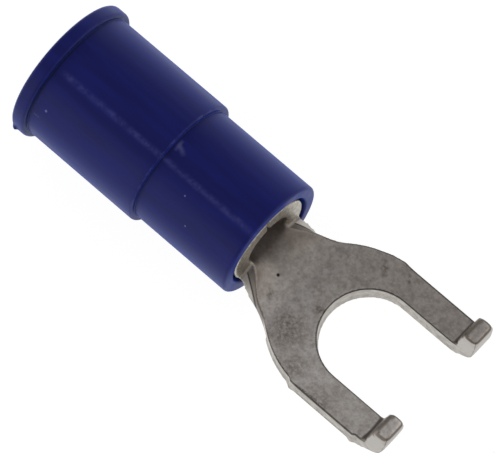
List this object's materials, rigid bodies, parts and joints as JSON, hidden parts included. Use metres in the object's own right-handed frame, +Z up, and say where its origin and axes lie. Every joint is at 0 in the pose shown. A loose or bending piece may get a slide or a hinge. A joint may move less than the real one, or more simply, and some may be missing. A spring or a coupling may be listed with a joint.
{
  "type": "fork terminal",
  "caption": "Insulated fork terminal: stamped metal fork with upturned tips and a rolled crimp barrel, in a moulded stepped sleeve with a lip round the wire entry.",
  "frame": {"origin": "centre of the stud slot's round end, on the underside of the tongue", "axes": "+X along the terminal, from the wire entry to the fork tips; +Z up, square to the tongue, the way the tips are bent; +Y across the fork"},
  "size_m": [0.0209, 0.007, 0.0065],
  "materials": {
    "tinned_sheet": "matt tin plate over copper alloy",
    "sleeve_plastic": "satin moulded navy blue"
  },
  "bodies": {
    "root": {"fork_terminal": "tinned_sheet", "insulating_sleeve": "sleeve_plastic"}
  },
  "joints": []
}
